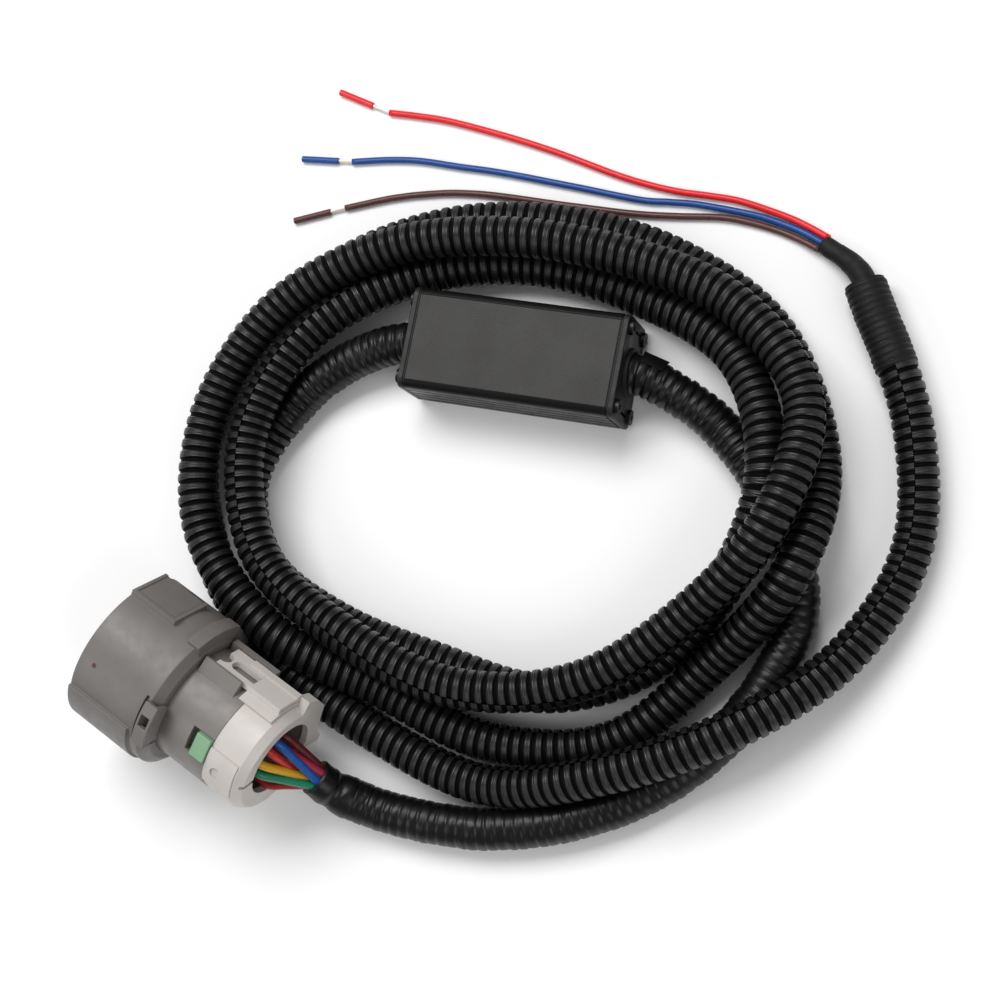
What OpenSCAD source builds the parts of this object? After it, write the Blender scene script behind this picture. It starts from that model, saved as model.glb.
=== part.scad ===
// Inline trailer brake controller: a small extruded aluminium box with a corrugated
// wiring loom out of each end. The short loom ends in a round seven-way connector,
// the long loom is laid in loose turns and ends in three loose leads.
// Millimetres, +Z up. The origin is under the middle of the box, on the floor.

/* [Box] */
// Length over the two end plates
box_l = 80; // [78:1:84]
// Width of the box
box_w = 37; // [36:1:40]
// Height of the box
box_h = 28; // [27:1:30]
// Wall of the extruded sleeve
wall = 1.8; // [1.5:0.1:2.2]
// Radius of the four long edges
edge_r = 3.4; // [2:0.1:4]
// Thickness of each end plate
plate_t = 2; // [1.5:0.1:2.5]
// Thickness of each end gasket
gasket_t = 0.5; // [0.3:0.1:0.8]
// Distance of each end screw from the box's sides
screw_inset = 4.3; // [4:0.1:5]

/* [Harness] */
// Diameter of the looms' solid core
loom_core_d = 11.5; // [10:0.5:12]
// Diameter of each loose lead
lead_d = 2.5; // [2:0.1:2.8]
// Diameter of each connector wire
wire_d = 2.8; // [2:0.1:2.8]

/* [Connector] */
// Outer diameter of the round shroud
shroud_d = 58; // [57:1:60]
// Length of the shroud from its mouth to its shoulder
shroud_l = 35; // [34:1:36]
// Outer diameter of the inner housing
housing_d = 44; // [43:0.5:44.5]
// Outer diameter of the lock collar
collar_d = 43.4; // [42:0.2:44]
// Length of the lock collar
collar_l = 16; // [15:0.5:17]
// Diameter of the wire opening in the collar
opening_d = 29; // [28:0.5:29.5]
// Sideways turn of the connector on the floor
connector_yaw = -24; // [-26:1:-22]
// Roll of the connector that puts its keyway up and to one side
connector_roll = -60; // [-65:1:-55]

/* [Hidden] */
$fn = 64;

eps = 0.01;
mid_z = box_h / 2;
sleeve_l = box_l - 2 * plate_t - 2 * gasket_t;
cavity_w = box_w - 2 * wall;
cavity_h = box_h - 2 * wall;
screw_y = box_w / 2 - screw_inset;
screw_z = box_h / 2 - screw_inset;
screw_hole_r = 1.45;
screw_shank_r = 1.4;
screw_clear_r = 1.6;
label_w = 31;
label_t = 0.35;
label_recess = 0.4;
groove_w = 0.8;
groove_d = 0.5;
grommet_hole_r = 8;
grommet_lip_r = 8.8;
grommet_lip_t = 1.2;
grommet_bore_r = 5.2;
exit_x = box_l / 2 + grommet_lip_t;
board_z = 9.3;
board_t = 1.6;
board_l = 66;
board_gap = 0.4;
board_top = board_z + board_t;
// Where the wires leave their headers, and their places in the box's end
tails_x = 33;
three_tails = [[0, 1.5], [-1.3, -0.8], [1.3, -0.8]];
seven_tails = [[0, 0], for (a = [0:60:300]) [2.6 * cos(a), 2.6 * sin(a)]];

loom_r = loom_core_d / 2;
// Height of a loom's centre line where it lies on the floor
lz = 7.5;
left_route = [[-exit_x, 0, mid_z], [-62, -7, 11], [-83, -25, lz], [-97, -58, lz],
    [-84, -88, lz], [-52, -104, lz], [-12, -112, lz], [28, -116, lz], [62, -101, lz],
    [86, -68, 12], [95, -28, 22.5], [77, 10, 15], [37, 29, 8], [-7, 35, 8], [-49, 24, 11],
    [-82, -4, 19], [-95, -45, 22], [-81, -86, 22], [-42, -109, 24], [1, -120, 22], [44, -110, 22],
    [78, -81, 26], [102, -45, 35], [104, -3, 27], [73, 28, 23], [30, 40, 22],
    [-15, 41, 23], [-58, 31, 22], [-94, 4, 22], [-112, -38, 22], [-105, -81, 22],
    [-72, -112, 21], [-30, -125, 9], [13, -136, lz], [56, -128, lz], [86, -96, 10],
    [110, -60, 23], [111, -20, 10], [88, 22, lz], [50, 44, lz], [5, 52, lz],
    [-40, 46, lz], [-80, 25, lz], [-110, -9, lz], [-119, -53, lz], [-102, -94, lz],
    [-68, -124, lz], [-26, -142, lz], [17, -151, 12], [59, -139, 21], [98, -117, 22],
    [130, -86, 12], [146, -46, lz], [139, -2, lz], [118, 38, lz],
    [111, 49, 5.5], [98, 57, 3.4]];
left_tape_end = 2;
left_loom_end = 54;
right_route = [[exit_x, 0, mid_z], [56, -4, 11], [72, -12, lz], [89, -27, lz],
    [104, -48, lz], [112, -74, lz], [105, -101, lz], [90, -125, lz], [70, -144, lz],
    [45, -158, lz], [19, -166, lz], [-3, -168, lz], [-20, -167.5, lz], [-32, -165.5, 11],
    [-39, -163, 15.5], [-44, -160, 20.5]];
right_loom_end = 13;

// Height of a lead's centre line where it lies on the floor
fz = 1.4;
red_route = [[99.35, 59.25, 3.4], [91, 63, 2], [82, 66, fz], [66, 69.5, fz], [54, 70.3, fz],
    [43, 70.6, fz], [32, 71.8, fz], [20, 74, fz], [8, 77, fz], [-4, 80, fz], [-16, 82.6, fz],
    [-29, 85, fz], [-49, 88, fz], [-62, 88.8, fz], [-74, 89, fz]];
blue_route = [[98, 57, 3.4], [90, 60.6, 2], [81, 63.2, fz], [70, 65.2, fz], [51, 66.6, fz],
    [40, 66.4, fz], [29, 66, fz], [6, 68, fz], [-6, 69, fz], [-18, 70, fz], [-30, 70.7, fz],
    [-42, 71, fz], [-58, 71.6, fz], [-71, 70.6, fz], [-85, 68.4, fz]];
brown_route = [[96.65, 54.75, 3.4], [89, 57.9, 2], [80, 60.5, fz], [69, 62.3, fz], [59, 62.8, fz],
    [45, 61.6, fz], [33, 60.8, fz], [22, 60.6, fz], [10, 60.8, fz], [-2, 61, fz], [-24, 61.6, fz],
    [-36, 61.3, fz], [-48, 60, fz], [-65, 56.4, fz], [-84, 50.2, fz]];
// Past each lead's end: length of its bare strands, and the way they and the slug beyond them lie
red_end = [7.5, 164.4];
blue_end = [5.6, 183];
brown_end = [6, 200.5];
tip_l = 15;
strands_d = 1.2;
// Room for the slant between a lead's end and its strands
strands_gap = 0.18;
red_tint = [0.75, 0.1, 0.14];
blue_tint = [0.1, 0.3, 0.75];
brown_tint = [0.35, 0.2, 0.18];

// Centre of the shroud's mouth
mouth = [-121.3, -127, 29.3];
shroud_r = shroud_d / 2;
mouth_bore_r = 27;
mouth_bore_l = 11;
inner_bore_r = 26.2;
shoulder_t = 3;
// Sloped rear edge of the shroud
slope_l = 2.8;
slope_r = 25.2;
housing_r = housing_d / 2;
housing_front = 12;
collar_front = 57;
collar_rear = collar_front + collar_l;
collar_wall_t = 2.4;
arm_front = 39.6;
arm_z = housing_r + 0.25;
arm_t = 2.2;
arm_side = 6.2;
rail_top = 24.9;
collar_slope = 3;
neck_r = 18.5;
collar_bore_r = neck_r + 0.3;
core_r = 17;
seal_front = 46;
seal_rear = 52;
// The secondary lock's turn away from the keyway, and its place and size
lock_angle = 82;
lock_x = 50.5;
lock_l = 6.2;
lock_w = 9.4;
lock_r0 = 19;
lock_travel = 2.5;

// ---------- helpers ----------

function unit(v) = v / norm(v);
// A route that starts on the box's own axis leaves square to the end plate
function leaves_box(p, i) = i == 0 && p[0][1] == 0;
// Direction of a route at one of its points
function heading(p, i) = leaves_box(p, i) ? [sign(p[0][0]), 0, 0]
    : unit(p[min(i + 1, len(p) - 1)] - p[max(i - 1, 0)]);
// One ring of the swept tube, square to the route
function ring(p, i, r, sides) =
    let (t = heading(p, i), s = unit(cross([0, 0, 1], t)), u = cross(t, s))
    [for (k = [0:sides - 1])
        p[i] + r * (cos(360 * k / sides) * s + sin(360 * k / sides) * u)];

// A closed tube through some of a route's points, with a radius for each ring
module sweep(route, picks, radii, sides) {
    rings = [for (k = [0:len(picks) - 1]) each ring(route, picks[k], radii[k], sides)];
    last = (len(picks) - 1) * sides;
    walls = [for (k = [0:len(picks) - 2], j = [0:sides - 1])
        let (a = k * sides + j, b = k * sides + (j + 1) % sides)
        each [[a, b, b + sides], [a, b + sides, a + sides]]];
    caps = [[for (j = [0:sides - 1]) sides - 1 - j], [for (j = [0:sides - 1]) last + j]];
    faces = [for (f = concat(walls, caps)) [for (i = [len(f) - 1:-1:0]) f[i]]];
    polyhedron(points = rings, faces = faces);
}

// A run of even thickness between two points of a route
module run(route, first, last, r, sides, step = 1) {
    picks = [for (i = [first:step:last]) i];
    sweep(route, picks, [for (i = picks) r], sides);
}

// A straight round bar between two points
module bar(a, b, r) {
    v = b - a;
    translate(a)
        rotate([0, acos(v[2] / norm(v)), atan2(v[1], v[0])])
            cylinder(r = r, h = norm(v));
}

// A flat outline pushed along X, its own x on Y and its own y on Z
module along_x(x0, x1) {
    translate([x0, 0, 0])
        rotate([90, 0, 90])
            linear_extrude(x1 - x0)
                children();
}

module round_rect(w, h, r) {
    square([w - 2 * r, h], center = true);
    square([w, h - 2 * r], center = true);
    for (x = [-1, 1], y = [-1, 1])
        translate([x * (w / 2 - r), y * (h / 2 - r)])
            circle(r);
}

module screw_places() {
    for (y = [-1, 1], z = [-1, 1])
        translate([y * screw_y, z * screw_z])
            children();
}

// Mirrors a right-hand piece to the left end
module at_end(side) {
    if (side > 0) children();
    else mirror([1, 0, 0]) children();
}

// ---------- box ----------

module enclosure_sleeve() {
    color([0.11, 0.11, 0.12])
        translate([0, 0, mid_z])
            along_x(-sleeve_l / 2, sleeve_l / 2)
                difference() {
                    round_rect(box_w, box_h, edge_r);
                    difference() {
                        square([cavity_w, cavity_h], center = true);
                        screw_places() circle(screw_inset - wall + 0.5);
                        for (y = [-1, 1], z = [board_z - 1.3, board_top + 0.1])
                            translate([y * (cavity_w / 2 - 0.5) - 0.9, z - mid_z])
                                square([1.8, 1.2]);
                    }
                    screw_places() circle(screw_hole_r);
                    translate([0, box_h / 2]) square([label_w + 0.4, 2 * label_recess], center = true);
                    for (y = [-1, 1], z = [-7.5, -2.5, 2.5, 7.5])
                        translate([y * box_w / 2, z])
                            square([2 * groove_d, groove_w], center = true);
                }
}

module top_label_panel() {
    color([0.16, 0.16, 0.16])
        translate([-sleeve_l / 2 + 0.4, -label_w / 2, box_h - label_recess])
            cube([sleeve_l - 0.8, label_w, label_t]);
}

module end_plate(side) {
    color([0.1, 0.1, 0.11])
        at_end(side)
            translate([0, 0, mid_z])
                along_x(box_l / 2 - plate_t, box_l / 2)
                    difference() {
                        round_rect(box_w, box_h, edge_r);
                        circle(grommet_hole_r);
                        screw_places() circle(screw_clear_r);
                    }
}

module end_gasket(side) {
    color([0.05, 0.05, 0.05])
        at_end(side)
            translate([0, 0, mid_z])
                along_x(sleeve_l / 2, sleeve_l / 2 + gasket_t)
                    difference() {
                        round_rect(box_w - 0.6, box_h - 0.6, edge_r);
                        circle(grommet_lip_r + 0.4);
                        screw_places() circle(screw_clear_r);
                    }
}

module plate_screws(side) {
    head_r = 2.7;
    head_t = 1.4;
    shank_l = 11;
    color([0.2, 0.2, 0.21])
        at_end(side)
            translate([0, 0, mid_z])
                for (y = [-1, 1], z = [-1, 1])
                    translate([box_l / 2, y * screw_y, z * screw_z])
                        rotate([0, 90, 0])
                            difference() {
                                union() {
                                    cylinder(r = head_r, h = head_t);
                                    translate([0, 0, -shank_l])
                                        cylinder(r = screw_shank_r, h = shank_l + eps);
                                }
                                for (a = [45, 135])
                                    rotate(a)
                                        translate([-1.5, -0.3, head_t - 0.7])
                                            cube([3, 0.6, 2]);
                            }
}

module grommet(side) {
    color([0.06, 0.06, 0.06])
        at_end(side)
            translate([0, 0, mid_z])
                rotate([0, 90, 0])
                    difference() {
                        union() {
                            translate([0, 0, box_l / 2 - plate_t - grommet_lip_t])
                                cylinder(r = grommet_lip_r, h = grommet_lip_t);
                            translate([0, 0, box_l / 2 - plate_t - eps])
                                cylinder(r = grommet_hole_r - 0.1, h = plate_t + 2 * eps);
                            translate([0, 0, box_l / 2])
                                cylinder(r = grommet_lip_r, h = grommet_lip_t);
                        }
                        translate([0, 0, box_l / 2 - 10])
                            cylinder(r = grommet_bore_r, h = 20);
                    }
}

// ---------- electronics ----------

module circuit_board() {
    color([0.05, 0.25, 0.12])
        translate([-board_l / 2, -cavity_w / 2 + board_gap, board_z])
            cube([board_l, cavity_w - 2 * board_gap, board_t]);
}

module power_transistors() {
    color([0.08, 0.08, 0.08])
        for (x = [-14, 0, 14])
            translate([x - 5, -4.5, board_z - 4.6])
                cube([10, 9, 4.6]);
}

module thermal_pad() {
    color([0.6, 0.62, 0.65])
        translate([-20, -6, wall])
            cube([40, 12, board_z - 4.6 - wall]);
}

module filter_capacitors() {
    color([0.15, 0.15, 0.3])
        for (y = [-6, 6])
            translate([-19, y, board_top + 4])
                rotate([0, 90, 0])
                    cylinder(r = 4, h = 16);
}

module control_chip() {
    color([0.07, 0.07, 0.07])
        translate([3, -5, board_top])
            cube([10, 10, 1.5]);
}

module motion_sensor() {
    color([0.3, 0.3, 0.3])
        translate([16, 6, board_top])
            cube([4, 4, 1]);
}

module current_shunt() {
    color([0.6, 0.5, 0.3])
        translate([15, -10, board_top])
            cube([8, 4, 1.4]);
}

module wire_header(side) {
    color([0.85, 0.84, 0.8])
        at_end(side)
            translate([tails_x - 8, -7, board_top])
                cube([8, 14, 8]);
}

module wire_tails(side, places) {
    color([0.5, 0.1, 0.1])
        at_end(side)
            for (p = places)
                translate([tails_x, p[0], mid_z + p[1]])
                    rotate([0, 90, 0])
                        cylinder(r = 1.05, h = exit_x - tails_x);
}

// ---------- looms and leads ----------

module left_loom_tape() {
    color([0.08, 0.08, 0.08]) run(left_route, 0, left_tape_end, loom_r, 10);
}

module left_loom() {
    color([0.12, 0.12, 0.12]) run(left_route, left_tape_end, left_loom_end, loom_r, 10);
}

module lead_end_tape() {
    color([0.08, 0.08, 0.08])
        sweep(left_route, [left_loom_end, left_loom_end + 1, left_loom_end + 2],
            [loom_r, 4.4, 3.3], 10);
}

module right_loom() {
    color([0.1, 0.1, 0.1]) run(right_route, 0, right_loom_end, loom_r, 10);
}

module connector_end_tape() {
    color([0.08, 0.08, 0.08])
        sweep(right_route, [right_loom_end, right_loom_end + 1, right_loom_end + 2],
            [loom_r, 6, 6], 10);
}

module lead(route, tint) {
    color(tint) run(route, 0, len(route) - 1, lead_d / 2, 8, 2);
}

// Point beyond the end of a lead
function beyond(route, end, d) = route[len(route) - 1] + d * [cos(end[1]), sin(end[1]), 0];

module lead_strands(route, end) {
    color([0.75, 0.72, 0.68])
        bar(beyond(route, end, strands_gap), beyond(route, end, end[0]), strands_d / 2);
}

module lead_tip(route, end, tint) {
    color(tint)
        bar(beyond(route, end, end[0]), beyond(route, end, end[0] + tip_l), lead_d / 2);
}

// ---------- connector ----------

module at_connector() {
    translate(mouth)
        rotate([0, 0, connector_yaw])
            rotate([connector_roll, 0, 0])
                children();
}

// A round step along the connector's axis, from its mouth backwards
module drum(x0, x1, r) {
    translate([x0, 0, 0])
        rotate([0, 90, 0])
            cylinder(r = r, h = x1 - x0);
}

// A round end that narrows towards the rear
module narrowing(x0, x1, r0, r1) {
    translate([x0, 0, 0])
        rotate([0, 90, 0])
            cylinder(r1 = r0, r2 = r1, h = x1 - x0);
}

// A point of a cross section; 0 degrees is the keyway, turning towards the clip
function around(r, a) = r * [-sin(a), cos(a)];

// A raised stretch of ring between two of those angles
module arc_band(x0, x1, r0, r1, from, to) {
    translate([x0, 0, 0])
        rotate([0, 90, 0])
            rotate(180 + from)
                rotate_extrude(angle = to - from)
                    translate([r0, 0])
                        square([r1 - r0, x1 - x0]);
}

module connector_shroud() {
    pad_top = shroud_r + 0.9;
    color([0.42, 0.41, 0.4])
        at_connector()
            difference() {
                union() {
                    drum(0, shroud_l - slope_l, shroud_r);
                    narrowing(shroud_l - slope_l, shroud_l, shroud_r, slope_r);
                    translate([0, -9, pad_top - 5]) cube([20.5, 18, 5]);
                    arc_band(28.8, 34.4, slope_r, shroud_r + 2, -22, 22);
                    arc_band(0, 28, shroud_r - 1, shroud_r + 1.2, 99, 158);
                }
                drum(-1, mouth_bore_l, mouth_bore_r);
                drum(0, shroud_l - shoulder_t, inner_bore_r);
                drum(0, shroud_l + 1, housing_r + 0.05);
                translate([1.6, -7.4, pad_top - 0.4]) cube([17.2, 18, 1]);
                arc_band(29.8, 30.8, shroud_r - 1.3, shroud_r + 3, 67, 105);
            }
}

module shroud_clip() {
    clip_from = 69;
    clip_to = 103;
    color([0.38, 0.37, 0.36])
        at_connector()
            difference() {
                union() {
                    arc_band(31.2, 36.8, shroud_r + 0.02, shroud_r + 2, clip_from, clip_to);
                    arc_band(shroud_l + 0.02, 36.8, slope_r - 1.2, shroud_r + 1, clip_from, clip_to);
                }
                rotate([83, 0, 0]) translate([32.2, -2.4, shroud_r - 2]) cube([3.4, 4.8, 6]);
            }
}

module connector_housing() {
    color([0.45, 0.44, 0.43])
        at_connector()
            difference() {
                union() {
                    drum(housing_front, 31, 20);
                    drum(31 - eps, collar_front - eps, housing_r);
                    drum(collar_front - 2 * eps, collar_rear - collar_wall_t - 0.5, neck_r);
                    along_x(36, 52.5)
                        polygon([[-11, 18.5], [-8, rail_top], [-7, rail_top], [-7, 18.5]]);
                    translate([36, 7, 17.5]) cube([collar_front - 36.5, 2.6, rail_top - 17.5]);
                }
                drum(housing_front - 1, seal_rear + 6, core_r);
                drum(seal_rear, collar_rear, 15.5);
                rotate([lock_angle, 0, 0])
                    translate([lock_x - lock_travel - 0.3, -lock_w / 2 - 0.3, lock_r0 - 0.3])
                        cube([lock_l + lock_travel + 1, lock_w + 0.6, 8]);
            }
}

module terminal_block() {
    color([0.3, 0.3, 0.3])
        at_connector()
            difference() {
                drum(housing_front, 40, core_r - 0.05);
                drum(housing_front - 1, 41, 2.4);
                blade_places() translate([housing_front - 1, -3.5, -1.1]) cube([30, 7, 2.2]);
            }
}

module blade_places() {
    for (a = [0:60:300])
        rotate([a, 0, 0])
            translate([0, 0, 10.5])
                children();
}

module blade_terminals() {
    color([0.8, 0.7, 0.45])
        at_connector()
            blade_places() translate([14, -3.1, -0.7]) cube([30, 6.2, 1.4]);
}

module centre_terminal() {
    color([0.8, 0.7, 0.45])
        at_connector()
            difference() {
                drum(14, 44, 2.1);
                drum(13, 26, 1.3);
            }
}

module interface_seal() {
    color([0.75, 0.35, 0.15])
        at_connector()
            difference() {
                drum(26, 30.9, 22.6);
                drum(25, 32, 20.05);
            }
}

module rear_wire_seal() {
    color([0.7, 0.35, 0.2])
        at_connector()
            drum(seal_front, seal_rear, core_r - 0.05);
}

module secondary_lock() {
    color([0.5, 0.75, 0.55])
        at_connector()
            rotate([lock_angle, 0, 0])
                translate([lock_x, -lock_w / 2, lock_r0])
                    cube([lock_l, lock_w, 4.1]);
}

// Outline of the collar's rear tab and of the hook past the scoop beside it
tab_outline = [around(16, -12), around(25.4, -13), around(25.7, -28), around(25.2, -46),
    around(22, -60), around(21, -78), around(24.4, -90), around(23.8, -99), around(16, -99),
    around(17, -54)];

module collar_body() {
    side_r = collar_d / 2;
    drum(collar_front, collar_rear - collar_slope, side_r);
    narrowing(collar_rear - collar_slope, collar_rear, side_r, side_r - 2.2);
    // Raised panels beside the plain middle one
    difference() {
        arc_band(54.6, 69.4, 20, side_r + 1.4, -14, 26);
        drum(54, collar_front, arm_z);
    }
    arc_band(collar_front, 69.4, 20, side_r + 0.5, 75, 118);
    // Latch arm, its raised edge, and its root
    translate([arm_front, -arm_side, arm_z])
        cube([collar_rear - 4 - arm_front, 2 * arm_side, arm_t]);
    translate([arm_front + 8, 3.4, arm_z])
        cube([collar_rear - 4 - arm_front - 8, arm_side - 3.4, arm_t + 0.6]);
    translate([collar_front, -arm_side, 15])
        cube([collar_l - 4, 2 * arm_side, arm_z + arm_t - 15]);
    along_x(collar_rear - 4.6, collar_rear) polygon(tab_outline);
}

module lock_collar() {
    side_r = collar_d / 2;
    color([0.8, 0.79, 0.76])
        at_connector()
            difference() {
                collar_body();
                drum(collar_front - 1, collar_rear - collar_wall_t, collar_bore_r);
                translate([0, 0, 1.2]) drum(collar_front, collar_rear + 1, opening_d / 2);
                // Window and notched front of the latch arm
                translate([46, -3.9, 20]) cube([9, 5, 8]);
                translate([46, -1.4, 20]) cylinder(r = 2.5, h = 8);
                translate([arm_front + 0.3, -1.2, 20]) cylinder(r = 2.9, h = 8);
                // Scoop beside the tab
                along_x(collar_rear - 4.8, collar_rear + 1)
                    translate(around(side_r + 2.4, -70)) circle(3.6);
                // Gap in the rear wall that the bundle slips in through
                along_x(collar_rear - 6, collar_rear + 1)
                    polygon([[0, 0], around(40, -96), around(40, -123), around(40, -150)]);
                // Half-round mark, and a crease across the rear wall
                rotate([98, 0, 0])
                    translate([62.6, 0, side_r - 0.2])
                        difference() {
                            cylinder(r = 2.8, h = 2);
                            translate([0.4, -4, -1]) cube([4, 8, 4]);
                        }
                rotate([98, 0, 0])
                    translate([collar_rear - 1.3, -0.8, opening_d / 2 - 2]) cube([2, 1.6, 12]);
            }
}

// Where a point of the connector's own frame lies on the floor plan
function connector_point(p) =
    let (y = p[1] * cos(connector_roll) - p[2] * sin(connector_roll),
         z = p[1] * sin(connector_roll) + p[2] * cos(connector_roll))
    mouth + [p[0] * cos(connector_yaw) - y * sin(connector_yaw),
             p[0] * sin(connector_yaw) + y * cos(connector_yaw), z];

// A place in the bundle: 0 degrees is level on the box's side, 90 is on top
function bundle_place(a, r, side, up) = r * (cos(a) * side + sin(a) * up);

// One wire, straight from the rear seal to the taped end of the short loom
module wire(a, seal_pitch, tape_pitch, tint) {
    tape = right_route[right_loom_end + 2];
    t = heading(right_route, right_loom_end + 2);
    side = unit(cross(t, [0, 0, 1]));
    seal_side = [-sin(connector_yaw), cos(connector_yaw), 0];
    color(tint)
        bar(connector_point([seal_rear - 1.5, 0, 0]) + bundle_place(a, seal_pitch, seal_side, [0, 0, 1]),
            tape + bundle_place(a, tape_pitch, side, cross(side, t)) - 1.5 * t, wire_d / 2);
}

module maroon_wire() wire(0, 6.4, 3, [0.3, 0.05, 0.06]);
module crimson_wire() wire(0, 0, 0, [0.6, 0.08, 0.12]);
module blue_wire() wire(60, 6.4, 3, [0.05, 0.15, 0.6]);
module red_wire() wire(120, 6.4, 3, [0.7, 0.08, 0.06]);
module yellow_wire() wire(180, 6.4, 3, [0.85, 0.6, 0.08]);
module green_wire() wire(240, 6.4, 3, [0.02, 0.4, 0.25]);
module lower_red_wire() wire(300, 6.4, 3, [0.65, 0.07, 0.06]);

enclosure_sleeve();
top_label_panel();
end_plate(-1);  // left_end_plate
end_plate(1);  // right_end_plate
end_gasket(-1);  // left_end_gasket
end_gasket(1);  // right_end_gasket
plate_screws(-1);  // left_plate_screws
plate_screws(1);  // right_plate_screws
grommet(-1);  // left_grommet
grommet(1);  // right_grommet
circuit_board();
power_transistors();
thermal_pad();
filter_capacitors();
control_chip();
motion_sensor();
current_shunt();
wire_header(-1);  // left_wire_header
wire_header(1);  // right_wire_header
wire_tails(-1, three_tails);  // left_wire_tails
wire_tails(1, seven_tails);  // right_wire_tails
left_loom_tape();
left_loom();
lead_end_tape();
lead(red_route, red_tint);  // red_lead
lead(blue_route, blue_tint);  // blue_lead
lead(brown_route, brown_tint);  // brown_lead
lead_strands(red_route, red_end);  // red_lead_strands
lead_strands(blue_route, blue_end);  // blue_lead_strands
lead_strands(brown_route, brown_end);  // brown_lead_strands
lead_tip(red_route, red_end, red_tint);  // red_lead_tip
lead_tip(blue_route, blue_end, blue_tint);  // blue_lead_tip
lead_tip(brown_route, brown_end, brown_tint);  // brown_lead_tip
right_loom();
connector_end_tape();
maroon_wire();
crimson_wire();
blue_wire();
red_wire();
yellow_wire();
green_wire();
lower_red_wire();
connector_shroud();
shroud_clip();
connector_housing();
terminal_block();
blade_terminals();
centre_terminal();
interface_seal();
rear_wire_seal();
secondary_lock();
lock_collar();
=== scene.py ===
"""Looks of an inline trailer brake controller, its looms, loose leads and round connector.

Metres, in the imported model's frame: +X along the box, +Z up, the floor at z = 0.
"""

import math

import bpy
import numpy as np
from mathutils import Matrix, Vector


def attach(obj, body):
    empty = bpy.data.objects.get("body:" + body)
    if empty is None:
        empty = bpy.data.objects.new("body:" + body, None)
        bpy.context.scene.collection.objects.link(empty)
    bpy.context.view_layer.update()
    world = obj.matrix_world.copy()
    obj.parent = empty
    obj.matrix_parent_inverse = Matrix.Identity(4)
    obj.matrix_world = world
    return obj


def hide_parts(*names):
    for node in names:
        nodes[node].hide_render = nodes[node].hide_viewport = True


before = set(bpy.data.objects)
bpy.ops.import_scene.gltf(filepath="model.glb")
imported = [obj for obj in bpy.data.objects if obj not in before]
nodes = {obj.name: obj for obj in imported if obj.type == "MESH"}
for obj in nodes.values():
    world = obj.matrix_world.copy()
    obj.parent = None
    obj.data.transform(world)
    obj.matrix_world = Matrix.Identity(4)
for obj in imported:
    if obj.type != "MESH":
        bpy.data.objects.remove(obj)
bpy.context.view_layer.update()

MM = 0.001
ROOT = "root"

# ---------------------------------------------------------------- camera and floor


def make_camera():
    """A 70 mm lens high over the front right corner, turned a little to the left."""
    data = bpy.data.cameras.new("camera")
    data.lens = 70
    data.sensor_width = 36
    data.clip_start = 0.02
    data.clip_end = 20
    camera = bpy.data.objects.new("camera", data)
    camera.location = (0.2051, -0.1205, 0.6707)
    camera.rotation_euler = [math.radians(a) for a in (8.93, 15.78, 11.3)]
    bpy.context.scene.collection.objects.link(camera)
    bpy.context.scene.camera = camera


make_camera()

# ---------------------------------------------------------------- routes of the cords

# The same points as the CAD routes, in millimetres here and scaled to metres
LOOM_Z = 7.5
LEAD_Z = 1.4
EXIT_X = 41.2
BOX_MID_Z = 14
LEFT_ROUTE = [
    (-EXIT_X, 0, BOX_MID_Z), (-62, -7, 11), (-83, -25, LOOM_Z), (-97, -58, LOOM_Z),
    (-84, -88, LOOM_Z), (-52, -104, LOOM_Z), (-12, -112, LOOM_Z), (28, -116, LOOM_Z),
    (62, -101, LOOM_Z), (86, -68, 12), (95, -28, 22.5), (77, 10, 15), (37, 29, 8), (-7, 35, 8),
    (-49, 24, 11), (-82, -4, 19), (-95, -45, 22), (-81, -86, 22), (-42, -109, 24),
    (1, -120, 22), (44, -110, 22), (78, -81, 26), (102, -45, 35), (104, -3, 27), (73, 28, 23),
    (30, 40, 22), (-15, 41, 23), (-58, 31, 22), (-94, 4, 22), (-112, -38, 22),
    (-105, -81, 22), (-72, -112, 21), (-30, -125, 9), (13, -136, LOOM_Z), (56, -128, LOOM_Z),
    (86, -96, 10), (110, -60, 23), (111, -20, 10), (88, 22, LOOM_Z), (50, 44, LOOM_Z),
    (5, 52, LOOM_Z), (-40, 46, LOOM_Z), (-80, 25, LOOM_Z), (-110, -9, LOOM_Z),
    (-119, -53, LOOM_Z), (-102, -94, LOOM_Z), (-68, -124, LOOM_Z), (-26, -142, LOOM_Z),
    (17, -151, 12), (59, -139, 21), (98, -117, 22), (130, -86, 12), (146, -46, LOOM_Z),
    (139, -2, LOOM_Z), (118, 38, LOOM_Z), (111, 49, 5.5), (98, 57, 3.4),
]
# Where the long loom's tube ends and only tape goes on, as a place in its route
LEFT_LOOM_END = 54
RIGHT_ROUTE = [
    (EXIT_X, 0, BOX_MID_Z), (56, -4, 11), (72, -12, LOOM_Z), (89, -27, LOOM_Z),
    (104, -48, LOOM_Z), (112, -74, LOOM_Z), (105, -101, LOOM_Z), (90, -125, LOOM_Z),
    (70, -144, LOOM_Z), (45, -158, LOOM_Z), (19, -166, LOOM_Z), (-3, -168, LOOM_Z),
    (-20, -167.5, LOOM_Z), (-32, -165.5, 11), (-39, -163, 15.5), (-44, -160, 20.5),
]
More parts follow.
